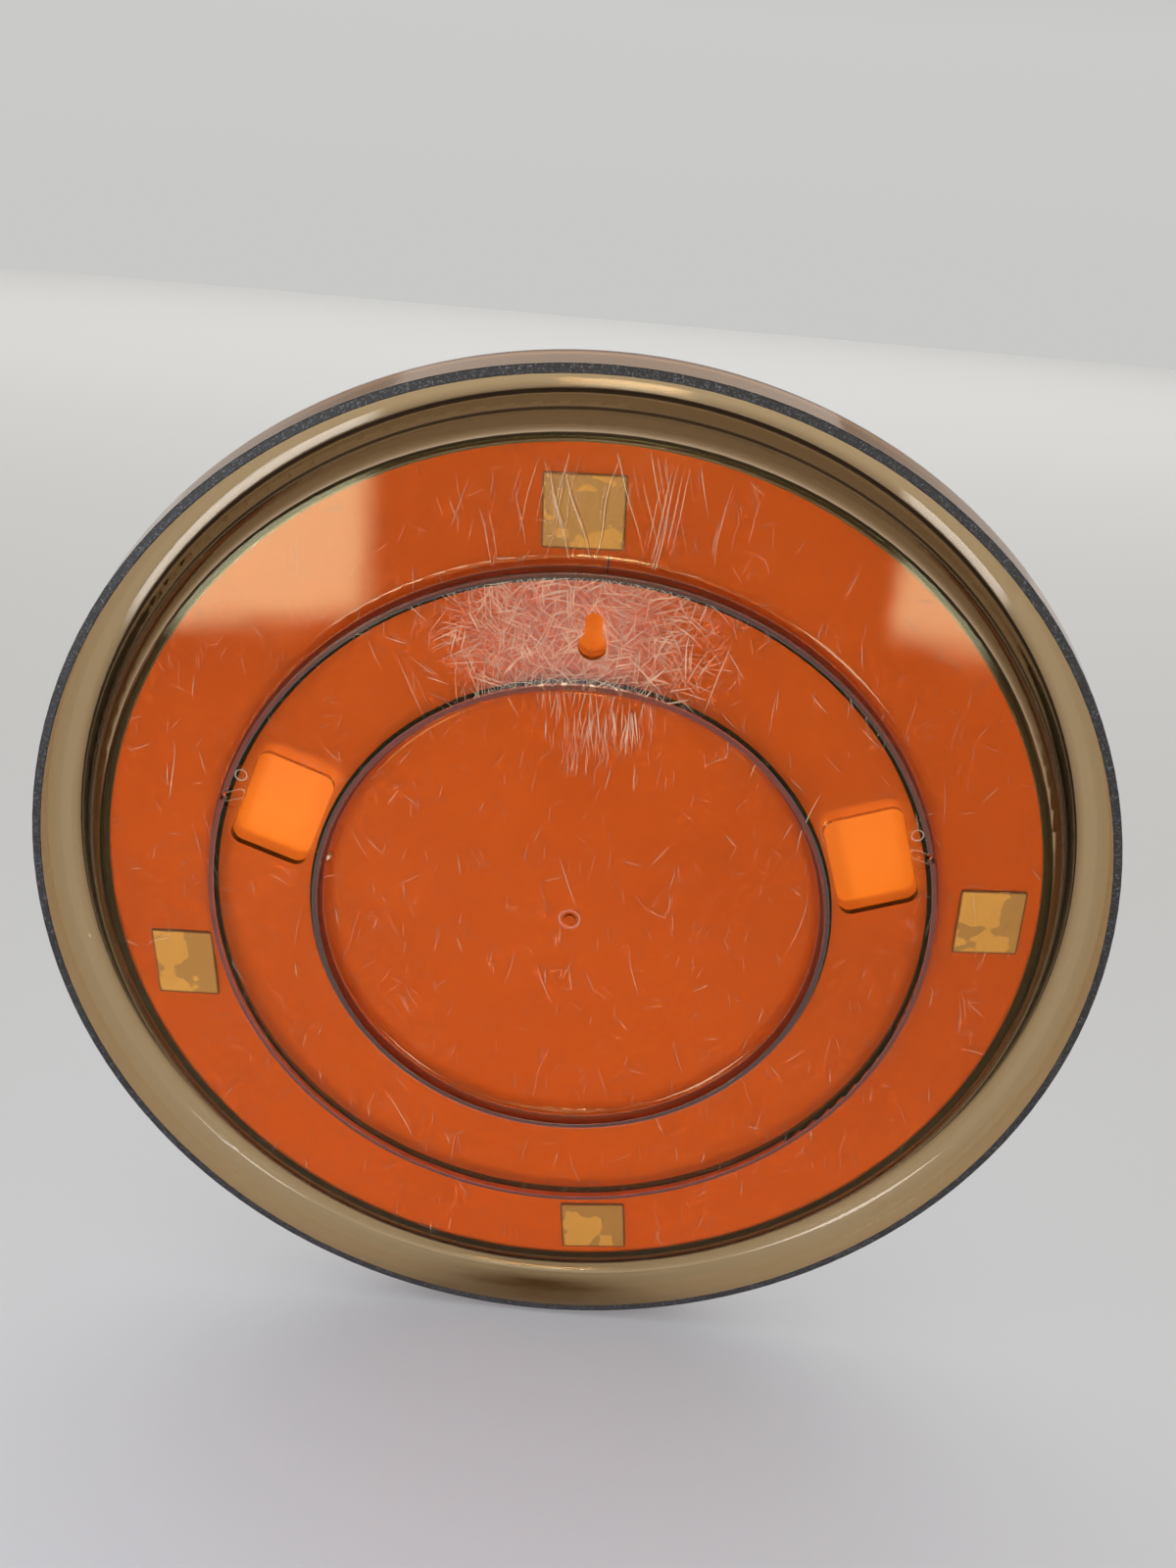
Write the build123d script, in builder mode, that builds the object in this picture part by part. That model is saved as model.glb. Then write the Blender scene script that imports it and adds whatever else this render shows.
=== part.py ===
"""Round wall mirror in a smoke-tinted moulded plastic frame, hung by a keyhole in its back.

Frame of the part: +Z is up as the mirror hangs, +Y points at the wall and -Y into the room.
The origin is the centre of the keyhole's round head, on the back face of the raised ring.
All lengths are in millimetres. Sections are drawn as (radius, y); details on the back are
drawn as they are seen from behind, with x to the right and y up.
"""

import os
from math import cos, radians, sin, tan

from build123d import *

os.makedirs("parts", exist_ok=True)

# ---------------------------------------------------------------- driving dimensions
WALL = 3.0  # thickness of the moulding everywhere

# depths along Y, measured from the back face of the raised ring
RIM_PROUD = 1.0  # the rim's cut edge stands this far behind the raised ring
RING_RISE = 5.6  # the raised ring above the plate around it
STEP_1 = 8.2  # drop of the inner bead, from the plate
STEP_2 = 4.9  # drop of the outer bead, down to the trough floor

# radii about the axis of the disc
RING_IN_R = 93.1
RING_OUT_R = 133.5
PLATE_R = 175.3  # corner where the plate ends and the beads begin
GROOVE_R = 182.4  # groove between the two beads
TROUGH_R = 187.4  # foot of the outer bead
EDGE_R = 197.0  # outer radius of the rim's cut edge
RIM_FLARE = 11.5  # degrees, the rim opens towards the room

# front of the beads, as drawn in from the same corners of the back
FRONT_CORNER_IN = 0.7
FRONT_RIDGE_IN = 2.4
FRONT_RIDGE_DROP = 2.4
FRONT_CREST_IN = 2.1

# roundings of the section
RING_COVE = 4.5
TROUGH_COVE = 6.0
SOFT_EDGE = 0.4
BEAD_EDGE = 1.3  # where the beads meet the plate, each other and the trough
INNER_BEAD_BULGE = 1.0
OUTER_BEAD_BULGE = 0.8
INNER_HOLLOW = 0.8
OUTER_HOLLOW = 0.6

# hanging keyhole, at the top of the raised ring
HANG_R = 109.1  # from the disc's axis up to the centre of the round head
KEY_HEAD_R = 4.8
KEY_SLOT_W = 5.8
KEY_TOP = 11.5  # top of the slot above the centre of the head

# windows and moulding marks beside them
WINDOW_ANGLE = 70.0
WINDOW_R = 111.7
WINDOW_RADIAL = 28.4
WINDOW_LONG = 38.6
WINDOW_CORNER = 4.5
MARK_R = 129.2
PIN_MARK_ANGLE = 67.0
PIN_MARK_D = 4.4
TAB_MARK_ANGLE = 70.9
TAB_MARK_LONG = 9.5
TAB_MARK_WIDE = 3.4
MARK_DEPTH = 0.2
NOTCH_ANGLE = 71.6
NOTCH_LONG = 3.8
NOTCH_DEEP = 2.2
GATE_DISH_D = 8.0
GATE_NUB_D = 4.6
GATE_NUB_H = 0.7
GATE_NUB_DRAFT = 12.0

# mirror and the tape that holds it
TAPE_T = 1.0
COAT_T = 0.3
GLASS_T = 3.0
GLASS_R = 173.4
ARRIS = 0.6

# tape squares: angle clockwise from the top and radius of the centre, size across and up, turn
TAPE_PADS = {
    "tape_pad_top": (-2.4, 151.2, 27.2, 24.2, 2.1),
    "tape_pad_right": (85.0, 155.0, 24.0, 26.8, 3.9),
    "tape_pad_bottom": (172.2, 155.4, 27.3, 24.4, 6.3),
    "tape_pad_left": (-103.8, 151.4, 23.6, 28.8, 2.3),
}

# ---------------------------------------------------------------- planes worked out from them
PLATE_BACK = -RING_RISE
PLATE_FRONT = PLATE_BACK - WALL
GROOVE_Y = PLATE_BACK - STEP_1
TROUGH_Y = GROOVE_Y - STEP_2
CREST_Y = TROUGH_Y - WALL
COAT_BACK = PLATE_FRONT - TAPE_T
GLASS_BACK = COAT_BACK - COAT_T
GLASS_FRONT = GLASS_BACK - GLASS_T

DISC_CENTRE = (0, 0, -HANG_R)
DISC_AXIS = Axis(DISC_CENTRE, (0, 1, 0))
SECTION = Plane(origin=DISC_CENTRE, x_dir=(1, 0, 0), z_dir=(0, 0, 1))


def back_plane(y):
    """Plane square to the disc's axis at depth y, seen from behind, centred on the disc."""
    return Plane(origin=(0, y, -HANG_R), x_dir=(-1, 0, 0), z_dir=(0, 1, 0))


def clock(angle, radius):
    """Point at an angle clockwise from the top, seen from behind."""
    return (radius * sin(radians(angle)), radius * cos(radians(angle)))


def rim_r(y, base):
    """Radius of a flared rim surface at depth y, base being its radius at the cut edge."""
    return base + (RIM_PROUD - y) * tan(radians(RIM_FLARE))


# ---------------------------------------------------------------- smoke_frame
# One moulding of even wall: centre plate, raised ring, two beads, trough and flared rim.
plate_corner = (PLATE_R, PLATE_BACK)
groove = (GROOVE_R, GROOVE_Y)
trough = (TROUGH_R, TROUGH_Y)
front_corner = (PLATE_R - FRONT_CORNER_IN, PLATE_FRONT)
front_ridge = (GROOVE_R - FRONT_RIDGE_IN, GROOVE_Y - FRONT_RIDGE_DROP)
front_crest = (TROUGH_R - FRONT_CREST_IN, CREST_Y)

with BuildPart() as smoke_frame:
    with BuildSketch(SECTION) as wall_section:
        with BuildLine():
            FilletPolyline(
                (0, PLATE_BACK),
                (RING_IN_R, PLATE_BACK),
                (RING_IN_R, 0),
                (RING_OUT_R, 0),
                (RING_OUT_R, PLATE_BACK),
                plate_corner,
                radius=(RING_COVE, SOFT_EDGE, SOFT_EDGE, RING_COVE),
            )
            SagittaArc(plate_corner, groove, INNER_BEAD_BULGE)
            SagittaArc(groove, trough, OUTER_BEAD_BULGE)
            FilletPolyline(
                trough,
                (rim_r(TROUGH_Y, EDGE_R - WALL), TROUGH_Y),
                (EDGE_R - WALL, RIM_PROUD),
                (EDGE_R, RIM_PROUD),
                (rim_r(CREST_Y, EDGE_R), CREST_Y),
                front_crest,
                radius=(TROUGH_COVE, SOFT_EDGE, SOFT_EDGE, TROUGH_COVE + WALL),
            )
            SagittaArc(front_crest, front_ridge, -OUTER_HOLLOW)
            SagittaArc(front_ridge, front_corner, -INNER_HOLLOW)
            FilletPolyline(
                front_corner,
                (RING_OUT_R - WALL, PLATE_FRONT),
                (RING_OUT_R - WALL, -WALL),
                (RING_IN_R + WALL, -WALL),
                (RING_IN_R + WALL, PLATE_FRONT),
                (0, PLATE_FRONT),
                radius=(RING_COVE, SOFT_EDGE, SOFT_EDGE, RING_COVE),
            )
            Line((0, PLATE_FRONT), (0, PLATE_BACK))
        make_face()
        for corner in (plate_corner, groove, trough, front_corner, front_ridge, front_crest):
            fillet(wall_section.vertices().sort_by_distance(corner)[0], radius=BEAD_EDGE)
    revolve(axis=DISC_AXIS)

    # keyhole: a round head that passes the screw's head, and a slot above it for the shank
    with BuildSketch(back_plane(0)):
        with Locations((0, HANG_R)):
            Circle(KEY_HEAD_R)
        slot_end = HANG_R + KEY_TOP - KEY_SLOT_W / 2
        with Locations((0, (HANG_R + slot_end) / 2)):
            Rectangle(KEY_SLOT_W, slot_end - HANG_R)
        with Locations((0, slot_end)):
            Circle(KEY_SLOT_W / 2)
    extrude(amount=-WALL, mode=Mode.SUBTRACT)

    # two windows through the raised ring
    with BuildSketch(back_plane(0)):
        for side in (-1, 1):
            with Locations(Location((*clock(side * WINDOW_ANGLE, WINDOW_R), 0), -side * WINDOW_ANGLE)):
                RectangleRounded(WINDOW_LONG, WINDOW_RADIAL, WINDOW_CORNER)
    extrude(amount=-WALL, mode=Mode.SUBTRACT)

    # ejector pin marks and tab marks, just outside the windows
    with BuildSketch(back_plane(0)):
        for side in (-1, 1):
            with Locations(clock(side * PIN_MARK_ANGLE, MARK_R)):
                Circle(PIN_MARK_D / 2)
            with Locations(Location((*clock(side * TAB_MARK_ANGLE, MARK_R), 0), -side * TAB_MARK_ANGLE)):
                Rectangle(TAB_MARK_LONG, TAB_MARK_WIDE)
    extrude(amount=-MARK_DEPTH, mode=Mode.SUBTRACT)

    # small notches in the outer wall of the raised ring
    with BuildSketch(back_plane(0)):
        for side in (-1, 1):
            spot = clock(side * NOTCH_ANGLE, RING_OUT_R - NOTCH_DEEP / 2)
            with Locations(Location((*spot, 0), -side * NOTCH_ANGLE)):
                Rectangle(NOTCH_LONG, NOTCH_DEEP + 2 * SOFT_EDGE)
    extrude(amount=-WALL, mode=Mode.SUBTRACT)

    # dished moulding gate at the very centre, with the snapped-off nub standing in it
    with BuildSketch(back_plane(PLATE_BACK)):
        Circle(GATE_DISH_D / 2)
        Circle(GATE_NUB_D / 2, mode=Mode.SUBTRACT)
    extrude(amount=-MARK_DEPTH, mode=Mode.SUBTRACT)
    with BuildSketch(back_plane(PLATE_BACK)):
        Circle(GATE_NUB_D / 2)
    extrude(amount=GATE_NUB_H, taper=GATE_NUB_DRAFT)
smoke_frame.part.label = "smoke_frame"
export_step(smoke_frame.part, "parts/smoke_frame.step")

# ---------------------------------------------------------------- tape pads
# Squares of double-sided foam tape between the plate and the back of the mirror.
for name, (angle, radius, across, up, turn) in TAPE_PADS.items():
    with BuildPart() as tape_pad:
        with BuildSketch(back_plane(PLATE_FRONT)):
            with Locations(Location((*clock(angle, radius), 0), turn)):
                Rectangle(across, up)
        extrude(amount=-TAPE_T)
    tape_pad.part.label = name
    export_step(tape_pad.part, f"parts/{name}.step")

# ---------------------------------------------------------------- mirror_coat
# Orange protective paint over the silvering, on the whole back of the glass.
with BuildPart() as mirror_coat:
    with BuildSketch(back_plane(COAT_BACK)):
        Circle(GLASS_R - ARRIS)
    extrude(amount=-COAT_T)
mirror_coat.part.label = "mirror_coat"
export_step(mirror_coat.part, "parts/mirror_coat.step")

# ---------------------------------------------------------------- mirror_glass
# Round pane with a ground arris on both edges.
with BuildPart() as mirror_glass:
    with BuildSketch(back_plane(GLASS_BACK)):
        Circle(GLASS_R)
    extrude(amount=-GLASS_T)
    chamfer(mirror_glass.edges(), length=ARRIS)
mirror_glass.part.label = "mirror_glass"
export_step(mirror_glass.part, "parts/mirror_glass.step")
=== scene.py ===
"""Round wall mirror seen from behind: smoke-tinted moulding, orange-backed pane and four squares of tape.

The row frame is in metres: +Z up, +Y towards the wall (the side that the camera sees), and the origin at
the centre of the keyhole. Materials use the same frame in millimetres, moved to the disc's axis.
"""

import math

import bmesh
import bpy
from mathutils import Matrix, Vector, noise


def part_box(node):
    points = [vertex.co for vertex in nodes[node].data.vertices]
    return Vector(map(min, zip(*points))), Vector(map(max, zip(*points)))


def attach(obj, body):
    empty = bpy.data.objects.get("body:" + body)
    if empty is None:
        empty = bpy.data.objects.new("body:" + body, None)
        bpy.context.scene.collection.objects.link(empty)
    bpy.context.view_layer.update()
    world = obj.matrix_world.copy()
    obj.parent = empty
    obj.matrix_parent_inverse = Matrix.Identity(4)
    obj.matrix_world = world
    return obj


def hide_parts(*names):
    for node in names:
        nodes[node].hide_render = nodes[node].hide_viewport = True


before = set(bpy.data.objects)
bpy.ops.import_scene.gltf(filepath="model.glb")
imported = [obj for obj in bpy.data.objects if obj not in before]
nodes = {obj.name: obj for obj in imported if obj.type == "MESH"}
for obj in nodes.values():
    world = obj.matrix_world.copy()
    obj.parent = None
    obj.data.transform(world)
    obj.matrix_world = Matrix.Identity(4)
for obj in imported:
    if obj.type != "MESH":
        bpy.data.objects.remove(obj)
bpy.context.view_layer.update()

MM = 0.001

# places read from the frame
frame_low, frame_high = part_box("smoke_frame")
DISC = Vector((0.0, 0.0, (frame_low.z + frame_high.z) / 2))  # on the disc's axis, level with the raised ring
FLOOR_Z = frame_low.z

# the moulding's section: radii about the disc's axis, and depths along Y from the raised ring, in millimetres
RING_IN_R = 93.1
RING_OUT_R = 133.5
PLATE_R = 175.3  # where the plate ends and the beads begin
GROOVE_R = 182.4  # between the two beads
TROUGH_R = 187.4  # foot of the outer bead
PLATE_Y = -5.6
GROOVE_Y = -13.8
TROUGH_Y = -18.7
RIM_EDGE_Y = 1.0


def clock(angle, radius):
    """Place in x and z at an angle clockwise from the top, seen from behind."""
    return (-radius * math.sin(math.radians(angle)), radius * math.cos(math.radians(angle)))


# ------------------------------------------------------------------ node helpers
class Nodes:
    """A material's node tree, with short calls for the nodes that the materials below share.

    Its calls take numbers, colours or other nodes' sockets, and give back sockets.
    """

    def __init__(self, name):
        self.material = bpy.data.materials.new(name)
        self.material.use_nodes = True
        self.tree = self.material.node_tree
        self.tree.nodes.clear()
        self.output = self.add("ShaderNodeOutputMaterial")
        self.shader = self.add("ShaderNodeBsdfPrincipled")
        self.link(self.shader.outputs["BSDF"], self.output.inputs["Surface"])

    def add(self, kind, **settings):
        node = self.tree.nodes.new(kind)
        for key, value in settings.items():
            setattr(node, key, value)
        return node

    def link(self, source, target):
        self.tree.links.new(source, target)

    def feed(self, socket, value):
        """Links value to socket if it is a socket, or else sets it."""
        if isinstance(value, bpy.types.NodeSocket):
            self.link(value, socket)
        else:
            socket.default_value = value

    def math(self, operation, a, b=0.0, c=0.0, clamp=False):
        node = self.add("ShaderNodeMath", operation=operation, use_clamp=clamp)
        for socket, value in zip(node.inputs, (a, b, c)):
            self.feed(socket, value)
        return node.outputs[0]

    def product(self, *values):
        """All the values multiplied together."""
        result = values[0]
        for value in values[1:]:
            result = self.math("MULTIPLY", result, value)
        return result

    def ramp(self, value, low, high, out_low=0.0, out_high=1.0):
        """Smooth step of value from low..high to out_low..out_high."""
        node = self.add("ShaderNodeMapRange", interpolation_type="SMOOTHSTEP")
        for socket, given in zip(node.inputs, (value, low, high, out_low, out_high)):
            self.feed(socket, given)
        return node.outputs[0]

    def mix(self, factor, a, b):
        """Mixed colour, from a at factor 0 to b at factor 1."""
        node = self.add("ShaderNodeMix", data_type="RGBA")
        self.feed(node.inputs["Factor"], factor)
        self.feed(node.inputs["A"], a)
        self.feed(node.inputs["B"], b)
        return node.outputs["Result"]

    def noise(self, vector, scale, detail=2.0, roughness=0.5):
        node = self.add("ShaderNodeTexNoise", noise_dimensions="3D")
        self.feed(node.inputs["Vector"], vector)
        self.feed(node.inputs["Scale"], scale)
        self.feed(node.inputs["Detail"], detail)
        self.feed(node.inputs["Roughness"], roughness)
        return node.outputs["Fac"]

    def place(self):
        """Position in millimetres about the disc's centre, and its x, y and z."""
        coordinate = self.add("ShaderNodeTexCoord")
        shift = self.add("ShaderNodeVectorMath", operation="SUBTRACT")
        self.link(coordinate.outputs["Object"], shift.inputs[0])
        shift.inputs[1].default_value = DISC
        scale = self.add("ShaderNodeVectorMath", operation="SCALE")
        self.link(shift.outputs[0], scale.inputs[0])
        scale.inputs["Scale"].default_value = 1 / MM
        parts = self.add("ShaderNodeSeparateXYZ")
        self.link(scale.outputs[0], parts.inputs[0])
        return scale.outputs[0], parts.outputs

    def bump(self, height, strength, distance):
        node = self.add("ShaderNodeBump")
        self.feed(node.inputs["Height"], height)
        node.inputs["Strength"].default_value = strength
        node.inputs["Distance"].default_value = distance
        return node.outputs["Normal"]

    def spot(self, xyz, centre, radii):
        """1 at centre, falling to 0 on the ellipse of the given radii, in x and z."""
        dx = self.math("DIVIDE", self.math("SUBTRACT", xyz[0], centre[0]), radii[0])
        dz = self.math("DIVIDE", self.math("SUBTRACT", xyz[2], centre[1]), radii[1])
        return self.math("SUBTRACT", 1.0, self.distance(dx, dz), clamp=True)

    def distance(self, dx, dz):
        square = self.math("ADD", self.math("MULTIPLY", dx, dx), self.math("MULTIPLY", dz, dz))
        return self.math("SQRT", square)

    def slanted(self, xyz, angle, length, width, seed):
        """Texture place stretched to length along angle, in degrees from x, and squeezed to width across."""
        turn = math.radians(angle)
        joined = self.add("ShaderNodeCombineXYZ")
        along = (math.cos(turn) / length, math.sin(turn) / length)
        across = (-math.sin(turn) / width, math.cos(turn) / width)
        for target, (step_x, step_z) in zip(joined.inputs, (along, across)):
            part = self.math("MULTIPLY_ADD", xyz[0], step_x, self.math("MULTIPLY", xyz[2], step_z))
            self.link(part, target)
        joined.inputs[2].default_value = seed
        return joined.outputs[0]

    def strokes(self, xyz, angle, length, width, density, seed):
        """Thin scratches along one direction, thinning out at their ends; density 0 to 1 says how many."""
        value = self.noise(self.slanted(xyz, angle, length, width, seed), 1.0, 0.0)
        start = self.math("MULTIPLY_ADD", density, -0.27, 0.83)
        return self.ramp(value, start, self.math("ADD", start, 0.09))

    def bent(self, point, size, amount):
        """The place, pushed about by up to amount over distances of size, so that straight marks curve."""
        node = self.add("ShaderNodeTexNoise", noise_dimensions="3D")
        self.link(point, node.inputs["Vector"])
        node.inputs["Scale"].default_value = 1 / size
        node.inputs["Detail"].default_value = 0.0
        push = self.add("ShaderNodeVectorMath", operation="MULTIPLY_ADD")
        self.link(node.outputs["Color"], push.inputs[0])
        push.inputs[1].default_value = (2 * amount, 2 * amount, 2 * amount)
        self.link(point, push.inputs[2])
        parts = self.add("ShaderNodeSeparateXYZ")
        self.link(push.outputs[0], parts.inputs[0])
        return parts.outputs

    def outline(self, xyz, centre, turn, half_x, half_z, power):
        """1 on the thin outline of a shape turned in x and z: round at power 2, squarer at a higher one."""
        cosine, sine = math.cos(math.radians(turn)), math.sin(math.radians(turn))
        dx = self.math("SUBTRACT", xyz[0], centre[0])
        dz = self.math("SUBTRACT", xyz[2], centre[1])
        across = self.math("MULTIPLY_ADD", dx, cosine / half_x, self.math("MULTIPLY", dz, sine / half_x))
        up = self.math("MULTIPLY_ADD", dx, -sine / half_z, self.math("MULTIPLY", dz, cosine / half_z))
        far = [self.math("POWER", self.math("ABSOLUTE", part), power) for part in (across, up)]
        return self.band(self.math("ADD", *far), 0.6, 1.2, 0.25)

    def band(self, value, low, high, soft):
        """1 where value lies between low and high, with soft ends."""
        return self.product(self.ramp(value, low, low + soft), self.ramp(value, high - soft, high, 1.0, 0.0))

    def largest(self, values):
        top = values[0]
        for value in values[1:]:
            top = self.math("MAXIMUM", top, value)
        return top


# ------------------------------------------------------------------ smoke_plastic
# tints of the moulding, by where it is
PLATE_SMOKE = (0.99, 0.96, 0.95, 1)
# painted shade: the darker tints of the beads and of the rim stand for the shade seen through them
BEAD_SHADE_TINT = (0.27, 0.22, 0.16, 1)
RIM_SHADE_TINT = (0.66, 0.61, 0.48, 1)
PLATE_SHEEN = (0.88, 0.73, 0.30, 1)
RIM_SHEEN = (0.88, 0.79, 0.56, 1)
SAWN_DARK = (0.012, 0.011, 0.013, 1)
SAWN_PALE = (0.24, 0.24, 0.25, 1)
SCRATCHED = (0.90, 0.65, 0.40, 1)
# painted shade: the dark maroon of the raised ring's walls
WALL_SHADE_MAROON = (0.16, 0.026, 0.010, 1)
# painted shade in the rings round the pane, in the groove and at the foot, and the dark of the seam
SHADE_AND_SEAM_DARK = (0.018, 0.010, 0.008, 1)
ABSORPTION = (0.82, 0.53, 0.12, 1)
ABSORPTION_DENSITY = 300.0  # per metre

# scratches of a wall screw: all ways on the ring, and streaks on the plate above it and below it;
# a field is densest from its level inwards, 0 being the edge of its ellipse and 1 the centre
SCRATCH_FIELDS = [
    {
        "face": "ring",
        "centre": (4.0, 112.0),
        "radii": (76.0, 54.0),
        "level": 0.6,
        "densest": 0.60,
        "curved": True,
        "angles": (14, 41, 66, 92, 118, 143, 169),
        "length": 17.0,
        "width": 0.42,
        "seed": 11.0,
    },
    {
        "face": "plate",
        "centre": (-2.0, 152.0),
        "radii": (90.0, 40.0),
        "level": 0.7,
        "densest": 0.42,
        "curved": True,
        "angles": (71, 99),
        "length": 44.0,
        "width": 0.50,
        "seed": 40.0,
    },
    {
        "face": "plate",
        "centre": (-4.0, 88.0),
        "radii": (34.0, 40.0),
        "level": 0.7,
        "densest": 0.70,
        "curved": False,
        "angles": (79, 88, 98),
        "length": 17.0,
        "width": 0.45,
        "seed": 61.0,
    },
]
SCRATCH_COVER = 0.42  # how much of the tint a scratch hides

# round pin marks and long tab marks pressed in the ring outside the windows: centre, turn, half sizes and
# the power that makes the outline round or square
MARK_R = 129.2
MOULD_MARKS = [(clock(side * 67.0, MARK_R), 0.0, 2.2, 2.2, 2.0) for side in (-1, 1)]
MOULD_MARKS += [(clock(side * 70.9, MARK_R), -side * 70.9, 1.7, 4.7, 4.0) for side in (-1, 1)]
GATE_R = 4.0


def scratches(m, point, xyz, radius):
    """Strokes of every scratch field, fading out where the plate meets the beads."""
    curved = m.bent(point, 30.0, 4.5)
    plate_only = m.ramp(xyz[1], PLATE_Y + 0.3, PLATE_Y + 0.6, 1.0, 0.0)
    faces = {
        "ring": m.ramp(xyz[1], -0.15, -0.05),
        "plate": m.product(plate_only, m.ramp(radius, PLATE_R - 6.3, PLATE_R - 2.3, 1.0, 0.0)),
    }
    layers = []
    for field in SCRATCH_FIELDS:
        spot = m.spot(xyz, field["centre"], field["radii"])
        density = m.product(m.ramp(spot, 0.0, field["level"], 0.0, field["densest"]), faces[field["face"]])
        place = curved if field["curved"] else xyz
        for angle in field["angles"]:
            seed = field["seed"] + angle
            layers.append(m.strokes(place, angle, field["length"], field["width"], density, seed))
    return m.product(m.largest(layers), m.ramp(radius, PLATE_R - 6.3, PLATE_R - 1.3, SCRATCH_COVER, 0.0))


def scuffs_and_marks(m, point, xyz, grain):
    """Fine haze round the keyhole, burrs under it, one chip on the plate, and the moulding marks."""
    on_ring = m.ramp(xyz[1], -0.15, -0.05)
    core = m.product(m.spot(xyz, (8.0, 112.0), (44.0, 38.0)), on_ring)
    haze = m.product(m.ramp(core, 0.0, 0.75), m.ramp(grain, 0.35, 0.65, 0.02, 0.10))
    burr = m.product(m.spot(xyz, (1.0, RING_IN_R + 0.1), (19.0, 3.0)), m.ramp(xyz[1], -1.2, -0.8))
    torn = m.ramp(m.noise(point, 0.42, 1.0), 0.52, 0.60, 0.0, 0.7)
    burr = m.product(m.ramp(burr, 0.05, 0.2), torn)
    chip = m.ramp(m.spot(xyz, (90.5, 18.0), (1.9, 1.5)), 0.1, 0.5, 0.0, 0.7)
    pressed = m.product(m.largest([m.outline(xyz, *mark) for mark in MOULD_MARKS]), 0.35)
    gate = m.product(m.outline(xyz, (0.0, 0.0), 0.0, GATE_R, GATE_R, 2.0), 0.10)
    return m.largest([haze, burr, chip, pressed, gate])


def shade_rings_and_seam(m, xyz, radius, grain):
    """Painted shade round the pane, in the groove and at the foot of the beads, and a dark seam across the
    ring's wall.
    """
    shifted_radius = m.math("MULTIPLY_ADD", xyz[2], -0.008, radius)  # the ring of painted shade shifts with height, further in towards the bottom
    channel = m.product(m.band(shifted_radius, PLATE_R - 3.1, PLATE_R + 0.4, 0.5), m.band(xyz[1], -9.3, -7.4, 0.4))
    groove_depth = m.band(xyz[1], GROOVE_Y - 1.2, GROOVE_Y + 1.4, 0.4)
    groove = m.product(m.band(radius, GROOVE_R - 1.1, GROOVE_R + 0.6, 0.5), groove_depth)
    foot_depth = m.band(xyz[1], TROUGH_Y - 0.3, TROUGH_Y + 1.9, 0.4)
    foot = m.product(m.band(radius, TROUGH_R - 1.5, TROUGH_R + 0.6, 0.5), foot_depth)
    seam_height = m.band(xyz[2], RING_OUT_R - 0.2, RING_OUT_R + 4.1, 0.4)
    seam = m.product(m.band(xyz[0], -3.2, -2.5, 0.2), seam_height)
    rings = m.largest([channel, m.product(m.math("MAXIMUM", groove, seam), 0.6), foot])
    return m.product(rings, m.ramp(grain, 0.2, 0.5, 0.80, 0.96))


def ring_wall_shade(m, xyz, radius):
    """Painted shade on the two walls of the raised ring, and less of it along their upper edges."""
    inner = m.band(radius, RING_IN_R - 1.2, RING_IN_R + 0.6, 0.4)
    outer = m.band(radius, RING_OUT_R - 0.6, RING_OUT_R + 1.3, 0.4)
    walls = m.product(m.largest([inner, outer]), m.product(m.band(xyz[1], PLATE_Y + 0.7, -0.15, 0.2), 0.55))
    inner_brink = m.band(radius, RING_IN_R - 0.2, RING_IN_R + 2.1, 0.4)
    outer_brink = m.band(radius, RING_OUT_R - 2.1, RING_OUT_R + 0.2, 0.4)
    brinks = m.product(m.largest([inner_brink, outer_brink]), m.ramp(xyz[1], -0.6, -0.2, 0.0, 0.24))
    return m.math("MAXIMUM", walls, brinks)


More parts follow.
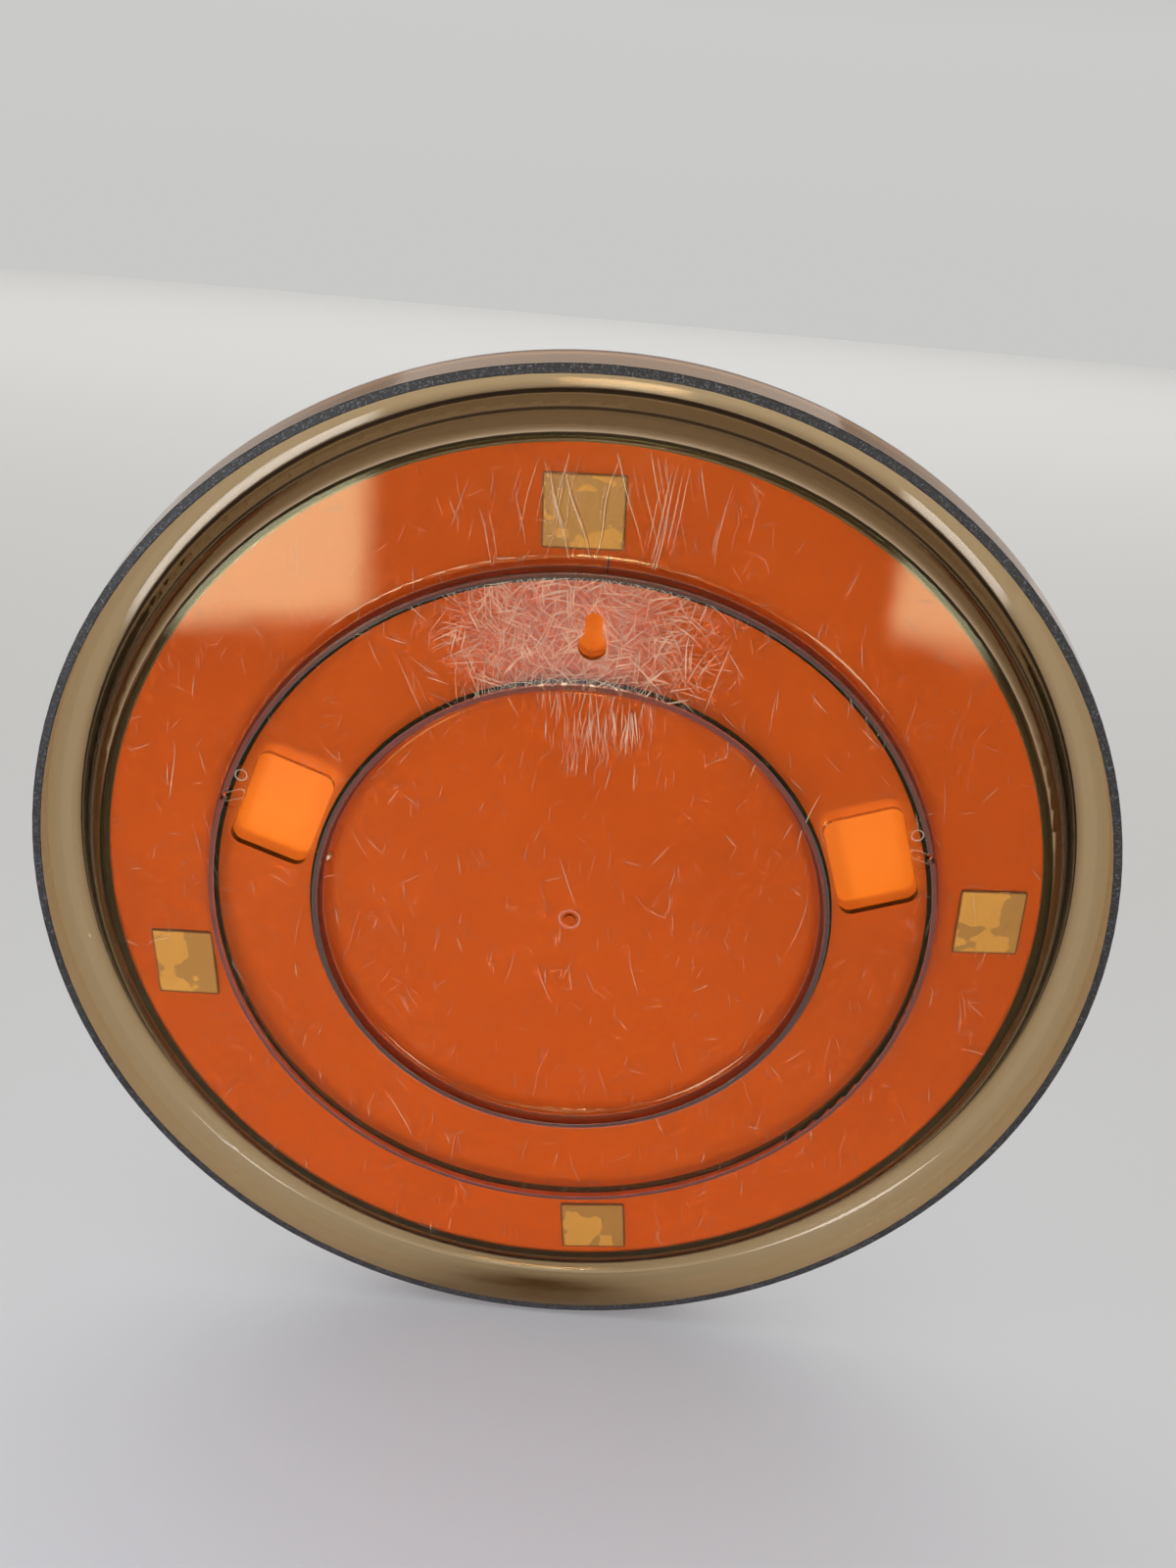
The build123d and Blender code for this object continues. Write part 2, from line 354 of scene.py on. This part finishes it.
def smoke_plastic():
    """Transparent brown moulding: tinted by its depth, scuffed round the keyhole, sawn matt on the rim."""
    m = Nodes("smoke_plastic")
    point, xyz = m.place()
    radius = m.distance(xyz[0], xyz[2])
    grain = m.noise(point, 0.8, 3.0, 0.7)
    white = m.largest([scratches(m, point, xyz, radius), scuffs_and_marks(m, point, xyz, grain)])
    shade_and_seam = shade_rings_and_seam(m, xyz, radius, grain)
    walls = ring_wall_shade(m, xyz, radius)

    # the rim's edge is sawn and scuffed along its length
    edge = m.ramp(xyz[1], RIM_EDGE_Y - 0.55, RIM_EDGE_Y - 0.3)
    scuffs = m.noise(point, 1.6, 5.0, 0.75)
    edge_colour = m.mix(m.ramp(scuffs, 0.52, 0.74), SAWN_DARK, SAWN_PALE)

    # painted shade: the beads and the rim are tinted darker than the plate, for the shade seen through them
    on_beads = m.ramp(radius, PLATE_R - 0.8, PLATE_R + 2.2)
    colour = m.mix(on_beads, PLATE_SMOKE, BEAD_SHADE_TINT)
    colour = m.mix(m.ramp(radius, TROUGH_R - 1.4, TROUGH_R + 3.6), colour, RIM_SHADE_TINT)
    colour = m.mix(edge, colour, edge_colour)
    colour = m.mix(m.ramp(white, 0.0, 0.25), colour, SCRATCHED)
    # painted shade on the walls of the raised ring
    colour = m.mix(m.ramp(walls, 0.0, 0.3), colour, WALL_SHADE_MAROON)
    # painted shade in the rings round the pane, in the groove and at the foot, and the dark seam
    m.link(m.mix(m.ramp(shade_and_seam, 0.0, 0.5), colour, SHADE_AND_SEAM_DARK), m.shader.inputs["Base Color"])

    covered = m.largest([white, walls, shade_and_seam, m.product(edge, 0.92)])
    m.link(m.math("SUBTRACT", 1.0, covered), m.shader.inputs["Transmission Weight"])
    smear = m.ramp(m.noise(point, 0.035, 3.0), 0.35, 0.75, 0.03, 0.08)
    m.link(m.math("MAXIMUM", smear, m.product(covered, 0.5)), m.shader.inputs["Roughness"])
    m.shader.inputs["IOR"].default_value = 1.45
    m.link(m.mix(on_beads, PLATE_SHEEN, RIM_SHEEN), m.shader.inputs["Specular Tint"])
    sawn = m.product(scuffs, edge, 1.5)
    ripple = m.math("MULTIPLY_ADD", m.noise(point, 0.05, 1.0), 1.2, sawn)
    m.link(m.bump(ripple, 0.35, 0.0001), m.shader.inputs["Normal"])

    tint = m.add("ShaderNodeVolumeAbsorption")
    tint.inputs["Color"].default_value = ABSORPTION
    tint.inputs["Density"].default_value = ABSORPTION_DENSITY
    m.link(tint.outputs["Volume"], m.output.inputs["Volume"])
    return m.material


# ------------------------------------------------------------------ the other materials
PAINT_DARK = (0.78, 0.154, 0.005, 1)
PAINT_LIGHT = (0.85, 0.180, 0.007, 1)
# painted light: the brighter colour of the coat's lower part
PAINT_LOW_PAINTED_LIGHT = (0.95, 0.205, 0.006, 1)
PAINT_GRAIN = (0.69, 0.125, 0.006, 1)
GROUND_DARK = (0.30, 0.42, 0.36, 1)
GROUND_PALE = (0.52, 0.62, 0.56, 1)
SILVER = (0.84, 0.87, 0.86, 1)
TAPE_WETTED = (0.66, 0.55, 0.25, 1)
TAPE_LOOSE = (1.0, 0.83, 0.30, 1)
TAPE_SPECK = (0.45, 0.33, 0.13, 1)
# painted shade along the edges of each square
TAPE_EDGE_SHADE = (0.16, 0.05, 0.02, 1)

# where each square of tape has let go: centre and radii in x and z
LOOSE_TAPE = [
    ((2.0, 137.0), (24.0, 10.0)),
    ((-148.0, 22.0), (14.0, 11.0)),
    ((-14.0, -158.0), (9.0, 15.0)),
    ((-22.0, -153.0), (6.0, 6.0)),
    ((154.0, -30.0), (10.0, 14.0)),
]


def orange_coat():
    """Matt orange paint rolled over the back of the pane, uneven, with painted light that makes it brighter
    towards the bottom.
    """
    m = Nodes("orange_coat")
    point, xyz = m.place()
    cloud = m.noise(point, 0.012, 3.0)
    grain = m.noise(point, 1.1, 4.0)
    colour = m.mix(m.ramp(cloud, 0.35, 0.7), PAINT_DARK, PAINT_LIGHT)
    # painted light: the coat brightens towards the bottom
    colour = m.mix(m.ramp(xyz[2], -165.0, 10.0, 0.85, 0.0), colour, PAINT_LOW_PAINTED_LIGHT)
    colour = m.mix(m.ramp(grain, 0.62, 0.8, 0.0, 0.35), colour, PAINT_GRAIN)
    m.link(colour, m.shader.inputs["Base Color"])
    m.link(m.ramp(grain, 0.3, 0.8, 0.45, 0.65), m.shader.inputs["Roughness"])
    m.shader.inputs["Specular IOR Level"].default_value = 0.2
    m.link(m.bump(grain, 0.25, 0.00008), m.shader.inputs["Normal"])
    return m.material


def silvered_pane():
    """Silvered glass: a bright mirror on its faces and a ground greenish edge."""
    m = Nodes("mirror_glass")
    point, _ = m.place()
    geometry = m.add("ShaderNodeNewGeometry")
    normal = m.add("ShaderNodeSeparateXYZ")
    m.link(geometry.outputs["Normal"], normal.inputs[0])
    face = m.ramp(m.math("ABSOLUTE", normal.outputs[1]), 0.90, 0.97)
    grain = m.noise(point, 2.5, 4.0)
    m.link(m.mix(face, m.mix(grain, GROUND_DARK, GROUND_PALE), SILVER), m.shader.inputs["Base Color"])
    m.link(face, m.shader.inputs["Metallic"])
    dust = m.ramp(m.noise(point, 0.05, 4.0), 0.45, 0.8, 0.012, 0.035)
    matt = m.product(m.math("SUBTRACT", 1.0, face), 0.45)
    m.link(m.math("MAXIMUM", dust, matt), m.shader.inputs["Roughness"])
    return m.material


def foam_tape():
    """Yellowed double-sided tape: brown where its glue wets the plastic, paler where it has let go, with
    painted shade along its edges.
    """
    m = Nodes("foam_tape")
    point, xyz = m.place()
    cloud = m.noise(point, 0.075, 2.0, 0.6)
    loose = [m.spot(xyz, centre, radii) for centre, radii in LOOSE_TAPE]
    patch = m.ramp(m.math("MULTIPLY_ADD", m.largest(loose), 0.45, cloud), 0.57, 0.60)
    speck = m.ramp(m.noise(point, 1.4, 3.0), 0.55, 0.75)
    colour = m.mix(patch, TAPE_WETTED, TAPE_LOOSE)
    colour = m.mix(m.product(speck, 0.3), colour, TAPE_SPECK)
    # painted shade along the edges of each square
    border = m.add("ShaderNodeAttribute", attribute_name="border")
    edge_shade = m.product(m.ramp(border.outputs["Fac"], 0.92, 0.98), 0.92)
    m.link(m.mix(edge_shade, colour, TAPE_EDGE_SHADE), m.shader.inputs["Base Color"])
    m.link(m.ramp(patch, 0.0, 1.0, 0.35, 0.6), m.shader.inputs["Roughness"])
    m.link(m.bump(m.noise(point, 2.2, 4.0), 0.5, 0.0001), m.shader.inputs["Normal"])
    return m.material


def dress(node, material):
    """Puts one material on every slot of a CAD node."""
    mesh = nodes[node].data
    mesh.materials.clear()
    mesh.materials.append(material)


dress("smoke_frame", smoke_plastic())
dress("mirror_coat", orange_coat())
dress("mirror_glass", silvered_pane())
tape_material = foam_tape()


# ------------------------------------------------------------------ tape squares
TAPE_CELLS = 28
TAPE_GAP = 0.04 * MM  # air left between the tape and its neighbours, so that faces never coincide
EDGE_PULL = 0.012  # how far scissors stray in from a straight edge, as a share of the square
STRAY_SIZE = 7 * MM
CORNER_PULL = 0.02
BULGE = 0.006  # how far the foam stands out between its two films, as a share of the square


def corners_of(node):
    """The four corners of a tape pad in x and z, in order round it."""
    seen = {(round(v.co.x, 6), round(v.co.z, 6)) for v in nodes[node].data.vertices}
    middle = Vector((sum(p[0] for p in seen) / len(seen), sum(p[1] for p in seen) / len(seen)))
    return sorted((Vector(p) for p in seen), key=lambda p: math.atan2(p.y - middle.y, p.x - middle.x))


def tape_square(node, seed):
    """A hand-cut square: edges that wander, soft corners, and a foam body that bulges between its films."""
    a, b, c, d = corners_of(node)
    middle = (a + b + c + d) / 4
    low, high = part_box(node)
    back_y, front_y = high.y - TAPE_GAP, low.y + TAPE_GAP
    shift = Vector((seed * 3.7, seed * 1.3, 0.0))  # so that each square strays in its own way

    def cut(across, up):
        """The place of a grid point, whose edges are pulled in unevenly, and its nearness to the edge."""
        flat = a.lerp(b, across).lerp(d.lerp(c, across), up)
        far_across, far_up = abs(2 * across - 1), abs(2 * up - 1)
        rim = max(far_across, far_up)
        stray = 0.35 + 0.65 * noise.noise(Vector((flat.x / STRAY_SIZE, flat.y / STRAY_SIZE, 0.0)) + shift)
        corner = max(0.0, far_across + far_up - 1.9) * 8.0
        return flat.lerp(middle, (EDGE_PULL * stray + CORNER_PULL * corner) * rim ** 6), rim

    mesh = bmesh.new()
    border_of = mesh.verts.layers.float.new("border")
    layers = []
    for y, bulge in ((back_y, 0.0), ((back_y + front_y) / 2, BULGE), (front_y, 0.0)):
        grid = []
        for u in range(TAPE_CELLS + 1):
            row = []
            for v in range(TAPE_CELLS + 1):
                place, rim = cut(u / TAPE_CELLS, v / TAPE_CELLS)
                place = place.lerp(middle, -bulge * rim ** 8)
                vertex = mesh.verts.new((place.x, y, place.y))
                vertex[border_of] = rim
                row.append(vertex)
            grid.append(row)
        layers.append(grid)
    cells = range(TAPE_CELLS)
    for grid, flip in ((layers[0], False), (layers[2], True)):
        for u in cells:
            for v in cells:
                ring = [grid[u][v], grid[u + 1][v], grid[u + 1][v + 1], grid[u][v + 1]]
                mesh.faces.new(ring[::-1] if flip else ring)
    # the middle layer keeps only its outer row, which the side faces below join
    bmesh.ops.delete(mesh, geom=[v for row in layers[1][1:-1] for v in row[1:-1]], context="VERTS")
    border = [(u, 0) for u in cells] + [(TAPE_CELLS, v) for v in cells]
    border += [(TAPE_CELLS - u, TAPE_CELLS) for u in cells] + [(0, TAPE_CELLS - v) for v in cells]
    for upper, lower in ((layers[0], layers[1]), (layers[1], layers[2])):
        for (u0, v0), (u1, v1) in zip(border, border[1:] + border[:1]):
            mesh.faces.new([upper[u0][v0], lower[u0][v0], lower[u1][v1], upper[u1][v1]])
    bmesh.ops.recalc_face_normals(mesh, faces=mesh.faces)
    data = bpy.data.meshes.new(node + "_foam")
    mesh.to_mesh(data)
    mesh.free()
    piece = bpy.data.objects.new(node + "_foam", data)
    bpy.context.scene.collection.objects.link(piece)
    data.materials.append(tape_material)
    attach(piece, "root")
    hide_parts(node)


for index, pad in enumerate(("tape_pad_top", "tape_pad_right", "tape_pad_bottom", "tape_pad_left")):
    tape_square(pad, index + 1)


# ------------------------------------------------------------------ stage, light and camera
def plain(name, colour, roughness):
    m = Nodes(name)
    m.shader.inputs["Base Color"].default_value = (*colour, 1)
    m.shader.inputs["Roughness"].default_value = roughness
    return m.material


def make_floor():
    bpy.ops.mesh.primitive_plane_add(size=12.0, location=(0, 0, FLOOR_Z))
    floor = bpy.context.object
    floor.name = "floor"
    floor.data.materials.append(plain("floor_paint", (0.72, 0.71, 0.69), 0.7))


def fade_edges(data, width):
    """Lets a light fade out towards its edges, over the given share of its size."""
    data.use_nodes = True
    tree = data.node_tree
    geometry = tree.nodes.new("ShaderNodeNewGeometry")
    parts = tree.nodes.new("ShaderNodeSeparateXYZ")
    tree.links.new(geometry.outputs["Parametric"], parts.inputs[0])
    product = tree.nodes.new("ShaderNodeMath")
    product.operation = "MULTIPLY"
    for across, target in zip(parts.outputs, product.inputs[:2]):
        inward = tree.nodes.new("ShaderNodeMath")
        inward.operation = "PINGPONG"
        inward.inputs[1].default_value = 0.5
        tree.links.new(across, inward.inputs[0])
        fade = tree.nodes.new("ShaderNodeMapRange")
        fade.interpolation_type = "SMOOTHSTEP"
        fade.inputs["From Max"].default_value = width
        tree.links.new(inward.outputs[0], fade.inputs["Value"])
        tree.links.new(fade.outputs[0], target)
    tree.links.new(product.outputs[0], tree.nodes["Emission"].inputs["Strength"])


def area_light(name, place, target, size, radiance, spread=170.0, fade=None, colour=(1.0, 1.0, 1.0)):
    """A soft rectangular light of about the given radiance, which lights and shines but isn't seen itself."""
    data = bpy.data.lights.new(name, "AREA")
    data.shape = "RECTANGLE"
    data.size, data.size_y = size
    data.spread = math.radians(spread)
    data.color = colour
    half = data.spread / 2
    focus = math.tan(half) / (math.tan(half) - half)  # a narrowed light is this much stronger
    data.energy = radiance * size[0] * size[1] * math.pi / focus
    if fade:
        fade_edges(data, fade)
    light = bpy.data.objects.new(name, data)
    light.location = place
    light.rotation_mode = "QUATERNION"
    light.rotation_quaternion = (Vector(target) - Vector(place)).to_track_quat("-Z", "Y")
    light.visible_camera = False
    bpy.context.scene.collection.objects.link(light)
    return light


def make_world():
    """A pale surround, brightest along the horizon and dimmer overhead."""
    world = bpy.data.worlds.new("studio")
    world.use_nodes = True
    tree = world.node_tree
    coordinate = tree.nodes.new("ShaderNodeTexCoord")
    parts = tree.nodes.new("ShaderNodeSeparateXYZ")
    ramp = tree.nodes.new("ShaderNodeValToRGB")
    tree.links.new(coordinate.outputs["Generated"], parts.inputs[0])
    tree.links.new(parts.outputs["Z"], ramp.inputs[0])
    tree.links.new(ramp.outputs[0], tree.nodes["Background"].inputs["Color"])
    stops = ramp.color_ramp.elements
    for stop, grey in ((stops[0], 0.58), (stops[1], 0.20), (stops.new(0.14), 0.60), (stops.new(0.5), 0.20)):
        stop.color = (grey, grey, 0.98 * grey, 1)
    bpy.context.scene.world = world


# the camera from the disc's centre, from the fit to the moulding's circles in the photograph
CAMERA_FROM_DISC = Vector((-0.0044, 0.3684, 0.2344))
CAMERA_LOOK = Vector((0.00456, -0.90293, -0.42976))
CAMERA_UP = Vector((0.08898, -0.42769, 0.89953))
CAMERA_LENS = 27.0
SENSOR_WIDTH = 36.0


def make_camera():
    data = bpy.data.cameras.new("camera")
    data.lens = CAMERA_LENS
    data.sensor_width = SENSOR_WIDTH
    camera = bpy.data.objects.new("camera", data)
    right = CAMERA_LOOK.cross(CAMERA_UP).normalized()
    turn = Matrix((right, CAMERA_UP.normalized(), -CAMERA_LOOK.normalized())).transposed()
    camera.matrix_world = Matrix.Translation(DISC + CAMERA_FROM_DISC) @ turn.to_4x4()
    bpy.context.scene.collection.objects.link(camera)
    bpy.context.scene.camera = camera


DAYLIGHT = (0.90, 1.08, 1.6)  # the cool colour of the two windows


def make_lights():
    """Two windows that shine in the plate, a wash on the floor, and two soft lights from the front."""
    left = DISC + Vector((0.312, 0.60, 0.005))
    right = DISC + Vector((-0.295, 0.60, 0.02))
    area_light("window_left", left, DISC, (0.25, 0.25), 13.0, 90.0, fade=0.14, colour=DAYLIGHT)
    area_light("window_right", right, DISC, (0.12, 0.22), 11.5, 90.0, fade=0.18, colour=DAYLIGHT)
    over_floor = DISC + Vector((0.0, -4.0, 2.6))
    area_light("floor_wash", over_floor, DISC + Vector((0.0, -4.0, 0.0)), (9.0, 4.5), 0.8)
    low_target = DISC + Vector((0.0, 0.0, -0.12))
    area_light("key", DISC + Vector((0.0, 1.2, 0.28)), low_target, (1.2, 0.4), 2.95, 70.0)
    # the front light reaches the coat through the windows, without a glint of its own on the plastic
    front = area_light("front", DISC + Vector((0.0, 2.6, 0.04)), low_target, (0.32, 0.32), 95.0, 45.0)
    front.visible_glossy = False


make_floor()
make_world()
make_camera()
make_lights()
bpy.context.scene.view_settings.view_transform = "Standard"
